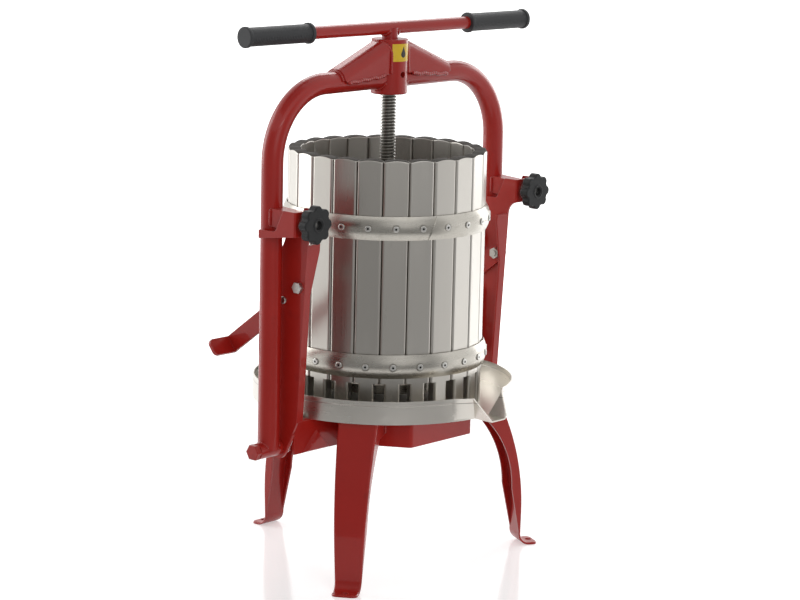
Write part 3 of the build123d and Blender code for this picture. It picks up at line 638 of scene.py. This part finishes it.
def boss_welds(side, word):
    """A bead where a gusset's back meets the boss, and one under the tube there."""
    seam = []
    for y in spread(-gusset_half - 0.0006, gusset_half + 0.0006, 25):
        drop = max(0.0, abs(y) - (gusset_half - gusset_round))
        top = gusset_high.z - gusset_round + math.sqrt(max(0.0, gusset_round**2 - drop**2))
        seam.append((side * (math.sqrt(boss_radius**2 - y**2) + 0.0008), y, top - 0.0012))
    foot = side * (math.sqrt(boss_radius**2 - gusset_half**2) + 0.0010)
    front, rear = ((foot, face * (gusset_half + 0.0008), crown_z + 0.006) for face in (-1, 1))
    bead(f"weld_boss_{word}", [front, *seam, rear], 0.0019)
    girth = tube_radius + 0.0004
    under = [
        (
            side * (math.sqrt(boss_radius**2 - (tube_radius * math.cos(a)) ** 2) + 0.0006),
            girth * math.cos(a),
            crown_z + girth * math.sin(a),
        )
        for a in spread(math.radians(198), math.radians(342), 21)
    ]
    bead(f"weld_tube_{word}", under, 0.0021)


def arch_leg_welds(side, word):
    """Beads beside the latch lug and round the pivot sleeve, on both sides of an arch leg."""
    lug_root = -math.sqrt(tube_radius**2 - lug_half**2) - 0.0006
    for edge, place in ((-1, "inner"), (1, "outer")):
        x = side * (arch_x + edge * (lug_half + 0.0004))
        upright = [(x, lug_root, lug_low.z + 0.003), (x, lug_root, lug_high.z - 0.001)]
        bead(f"weld_lug_{word}_{place}", upright, 0.0018)
        saddle = [
            (
                side * (arch_x + edge * tube_radius * math.cos(a)),
                tube_radius * math.sin(a),
                pivot_z + math.sqrt(sleeve_radius**2 - (tube_radius * math.sin(a)) ** 2),
            )
            for a in spread(math.radians(-44), math.radians(44), 15)
        ]
        bead(f"weld_sleeve_{word}_{place}", saddle, 0.0018)


def post_weld(side, word):
    """A sloping bead where an arm of the pan meets its post."""
    arm_end = side * (pan_high.x + 0.0004)
    seam = [(arm_end, -0.0118, pan_low.z + 0.001), (arm_end, -0.0240, pan_high.z - 0.015)]
    bead(f"weld_post_{word}", seam, 0.0020, "base")


def bar_weld(side, word):
    """A bead under the handle bar, round one side of the shank."""
    girth = shank_radius + 0.0002
    arc = []
    for a in spread(math.radians(-50), math.radians(50), 15):
        out, off = side * girth * math.cos(a), girth * math.sin(a)
        arc.append((
            out * math.cos(handle_turn) - off * math.sin(handle_turn),
            out * math.sin(handle_turn) + off * math.cos(handle_turn),
            handle_z - math.sqrt(bar_radius**2 - off**2) - 0.0002,
        ))
    bead(f"weld_bar_{word}", arc, 0.0026, "screw")


def leg_welds(number, turn):
    """A short upright bead on each edge of a leg, against the pan's wall."""
    out = on_axis(turn, pan_high.y + 0.0002, 0)
    for edge, place in ((-1, "near"), (1, "far")):
        at = out + Vector((math.cos(turn), math.sin(turn), 0)) * edge * leg_half_width
        upright = [at + Vector((0, 0, pan_high.z - drop)) for drop in (0.025, 0.004)]
        bead(f"weld_leg_{number}_{place}", upright, 0.0019, "base")


for side, word in ((-1, "left"), (1, "right")):
    gusset_welds(side, word)
    boss_welds(side, word)
    arch_leg_welds(side, word)
    post_weld(side, word)
    bar_weld(side, word)
for number, turn in enumerate(leg_turns, start=1):
    leg_welds(number, turn)

# Camera at the photo's angle
azimuth, elevation, roll = math.radians(-49.0), math.radians(10.673), math.radians(1.296)
distance = 3.6394
aim_height, aim_aside = 0.3324, 0.020
back = on_axis(azimuth, math.cos(elevation), math.sin(elevation))
level = (-back).cross(Vector((0, 0, 1))).normalized()
upright = level.cross(-back)
right = level * math.cos(roll) + upright * math.sin(roll)
up = upright * math.cos(roll) - level * math.sin(roll)
eye = Vector((0, 0, aim_height)) + level * aim_aside + back * distance
camera_data = bpy.data.cameras.new("camera")
camera_data.sensor_width = 36.0
camera_data.lens = 128.5
camera = bpy.data.objects.new("camera", camera_data)
camera.matrix_world = Matrix((
    (right.x, up.x, back.x, eye.x),
    (right.y, up.y, back.y, eye.y),
    (right.z, up.z, back.z, eye.z),
    (0, 0, 0, 1),
))
scene.collection.objects.link(camera)
scene.camera = camera

# Stage: white surroundings, a white floor, two dim cards for the steel to mirror, and four soft lamps
scene.view_settings.view_transform = "Standard"
white, no_light = (1, 1, 1), (0, 0, 0)
fade_end = math.radians(80)
card_radius, card_top = 0.75, 0.90


def studio_world():
    """White where it is seen or mirrored, and dimmer as a light."""
    lit = 0.30
    world = bpy.data.worlds.new("studio")
    world.use_nodes = True
    sky = Sock(world.node_tree)
    background = world.node_tree.nodes["Background"]
    background.inputs["Color"].default_value = (*white, 1)
    strength = lit + (1 - lit) * sky.seen()
    world.node_tree.links.new(strength.out, background.inputs["Strength"])
    return world


def level_square(half, z):
    return [(-half, -half, z), (half, -half, z), (half, half, z), (-half, half, z)], [(0, 1, 2, 3)]


def floor_white():
    """A pale polished floor whose own glow takes it to white away from the press."""
    near_glow, mirrored_glow = 0.45, 0.42
    c = Coat("floor_white")
    tone = c.noise(3)
    far = c.polar()[1].ramp(0.5, 2.2)
    shine = c.ray("Camera") * (near_glow + (1 - near_glow) * far) + mirrored_glow * c.mirrored()
    return c.finish(
        c.mix(tone, (0.88, 0.88, 0.88), (0.90, 0.90, 0.90)), 0.10 + 0.03 * tone, height=tone, depth=0.0001,
        glow=c.mix(shine, no_light, white), emission_strength=1.0, specular_ior_level=0.5,
    )


def card(name, verts, faces, tone):
    """A dim card seen in reflections only, fading to white towards both sides of the camera's direction."""
    fade_right, fade_left, low_share = math.radians(48), math.radians(44), 0.68
    c = Coat(name)
    turn = c.math("WRAP", c.polar()[0] - azimuth, math.pi, -math.pi)
    ends = turn.ramp(fade_right, fade_end) + (-1 * turn).ramp(fade_left, fade_end)
    dim = c.mix(c.z.ramp(0.04, 0.44), (low_share * tone,) * 3, (tone,) * 3)
    glow = c.mix(c.math("MINIMUM", ends + 0.05 * c.noise(1.5), 1.0), dim, white)
    made = mesh_object(name, verts, faces, c.finish(no_light, 1.0, glow=glow, emission_strength=1.0))
    made.visible_camera = False
    made.visible_diffuse = False
    made.visible_shadow = False


def lamp(name, turn, reach, height, wide, tall, power):
    """A soft rectangular lamp at an angle from the camera's direction, aimed at the press."""
    place = on_axis(azimuth + math.radians(turn), reach, height)
    aim = Vector((0, 0, 0.35))
    data = bpy.data.lights.new(name, "AREA")
    data.shape = "RECTANGLE"
    data.size = wide
    data.size_y = tall
    data.energy = power
    made = bpy.data.objects.new(name, data)
    made.location = place
    made.rotation_euler = (aim - place).to_track_quat("-Z", "Y").to_euler()
    scene.collection.objects.link(made)


scene.world = studio_world()
mesh_object("floor", *level_square(20, 0), floor_white())
front = spread(azimuth - fade_end, azimuth + fade_end, 41)
front_columns = [(on_axis(a, card_radius, 0.0), on_axis(a, card_radius, card_top)) for a in front]
card("front_card", *strip(front_columns), 0.29)
card("top_card", *level_square(1.3, 2.2), 0.30)
lamp("left_light", turn=-110, reach=2.5, height=1.1, wide=1.4, tall=2.0, power=25)
lamp("right_light", turn=142, reach=2.5, height=1.1, wide=1.4, tall=2.0, power=22)
lamp("back_light", turn=176, reach=2.4, height=2.4, wide=2.0, tall=1.2, power=24)
lamp("front_light", turn=22, reach=3.4, height=1.6, wide=1.6, tall=1.4, power=27)
